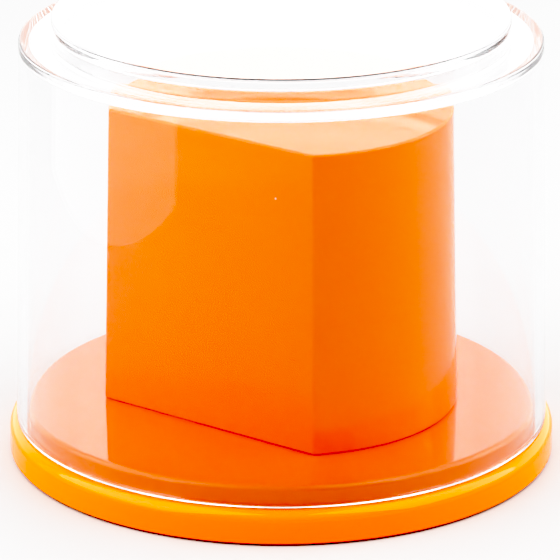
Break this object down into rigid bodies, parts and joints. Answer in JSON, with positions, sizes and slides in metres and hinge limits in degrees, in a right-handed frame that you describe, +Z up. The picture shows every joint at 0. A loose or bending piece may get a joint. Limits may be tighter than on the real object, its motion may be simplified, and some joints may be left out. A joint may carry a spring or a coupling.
{
  "type": "round display case",
  "caption": "Round display case for a wristwatch: flanged base, D-shaped pedestal with one flat, and a clear stepped lid that lifts straight off.",
  "frame": {"origin": "centre of the footprint, on the surface that the pads stand on", "axes": "+Z up along the axis of the base and lid; -Y is the front, which the pedestal's flat faces"},
  "size_m": [0.098, 0.098, 0.0805],
  "materials": {
    "orange_gloss": "high-gloss opaque orange moulding, faint haze and fine handling scratches",
    "clear_styrene": "water-clear moulded polystyrene, polished",
    "orange_satin": "fine satin underside",
    "zinc_plate": "bright zinc-plated steel screw",
    "pad_rubber": "soft matt black stick-on pad"
  },
  "bodies": {
    "stand": {"base": "orange_gloss", "pedestal": "orange_gloss", "pedestal_screw_1": "zinc_plate", "pedestal_screw_2": "zinc_plate", "pedestal_screw_3": "zinc_plate", "bottom_cover": "orange_satin", "foot_pad_1": "pad_rubber", "foot_pad_2": "pad_rubber", "foot_pad_3": "pad_rubber", "foot_pad_4": "pad_rubber"},
    "lid": {"lid": "clear_styrene"}
  },
  "joints": [
    {"name": "lid_lift", "type": "slide", "parent": "stand", "child": "lid", "axis": [0, 0, 1], "range_m": [0, 0.08]}
  ]
}
